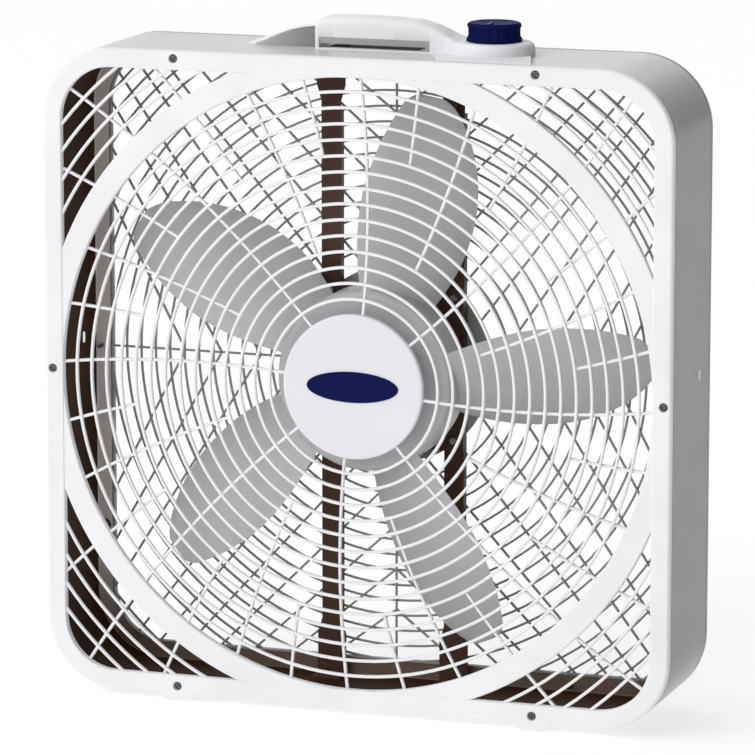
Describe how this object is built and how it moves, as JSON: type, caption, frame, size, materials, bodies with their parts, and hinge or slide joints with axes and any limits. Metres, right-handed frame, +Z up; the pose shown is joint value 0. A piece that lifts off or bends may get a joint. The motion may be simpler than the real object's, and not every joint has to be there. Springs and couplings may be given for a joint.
{
  "type": "box fan",
  "caption": "Square portable box fan with moulded round-pattern grilles, broad twisted blades, a steel band housing, a carry handle and a rotary speed knob on top.",
  "frame": {"origin": "on the resting plane, under the middle of the housing's width and depth", "axes": "+X to the viewer's right when facing the front grille, +Y from the front grille to the back, +Z up; the fan turns about the Y axis through the middle of the housing"},
  "size_m": [0.5206, 0.1142, 0.5527],
  "materials": {
    "shell_steel": "satin light grey enamel",
    "grille_white": "white moulded plastic, low sheen",
    "blade_grey": "grey moulded plastic",
    "navy_plastic": "navy moulded plastic",
    "black_plastic": "black moulded plastic",
    "strut_dark": "dark brown coated steel strip",
    "plated_steel": "zinc plated",
    "core_steel": "varnished laminations",
    "copper": "enamelled copper wire",
    "bronze": "sintered bronze"
  },
  "bodies": {
    "housing": {"housing_shell": "shell_steel", "front_grille": "grille_white", "rear_grille": "grille_white", "cap_badge": "navy_plastic", "handle_housing": "grille_white", "switch_body": "black_plastic", "switch_nut": "plated_steel", "motor_bearing_front": "bronze", "motor_bearing_back": "bronze", "stator_core": "core_steel", "winding_front": "copper", "winding_back": "copper", "motor_bell_front": "plated_steel", "motor_bell_back": "plated_steel", "motor_bolt_1": "plated_steel", "motor_nut_1": "plated_steel", "motor_bolt_2": "plated_steel", "motor_nut_2": "plated_steel", "motor_bolt_3": "plated_steel", "motor_nut_3": "plated_steel", "motor_bolt_4": "plated_steel", "motor_nut_4": "plated_steel", "motor_strut_left": "strut_dark", "motor_strut_right": "strut_dark", "motor_bracket_upper": "strut_dark", "motor_bracket_lower": "strut_dark", "bracket_screw_1": "plated_steel", "strut_screw_1": "plated_steel", "bracket_screw_2": "plated_steel", "strut_screw_2": "plated_steel", "bracket_screw_3": "plated_steel", "strut_screw_3": "plated_steel", "bracket_screw_4": "plated_steel", "strut_screw_4": "plated_steel", "front_screw_tl": "plated_steel", "rear_screw_tl": "plated_steel", "front_screw_tr": "plated_steel", "rear_screw_tr": "plated_steel", "front_screw_l": "plated_steel", "rear_screw_l": "plated_steel", "front_screw_r": "plated_steel", "rear_screw_r": "plated_steel", "front_screw_bl": "plated_steel", "rear_screw_bl": "plated_steel", "front_screw_br": "plated_steel", "rear_screw_br": "plated_steel", "cord_gland": "black_plastic", "motor_lead": "black_plastic", "lead_clip_lower": "black_plastic", "lead_clip_upper": "black_plastic"},
    "fan_rotor": {"fan_impeller": "blade_grey", "hub_clip": "plated_steel", "motor_shaft": "plated_steel", "motor_rotor": "core_steel"},
    "speed_control": {"speed_knob": "navy_plastic", "switch_shaft": "plated_steel"}
  },
  "joints": [
    {"name": "fan_spin", "type": "hinge", "parent": "housing", "child": "fan_rotor", "pos_m": [0, -0.01, 0.26595], "axis": [0, 1, 0], "continuous": true},
    {"name": "knob_turn", "type": "hinge", "parent": "housing", "child": "speed_control", "pos_m": [0.098, 0, 0.5363], "axis": [0, 0, -1], "range_deg": [0, 135]}
  ]
}
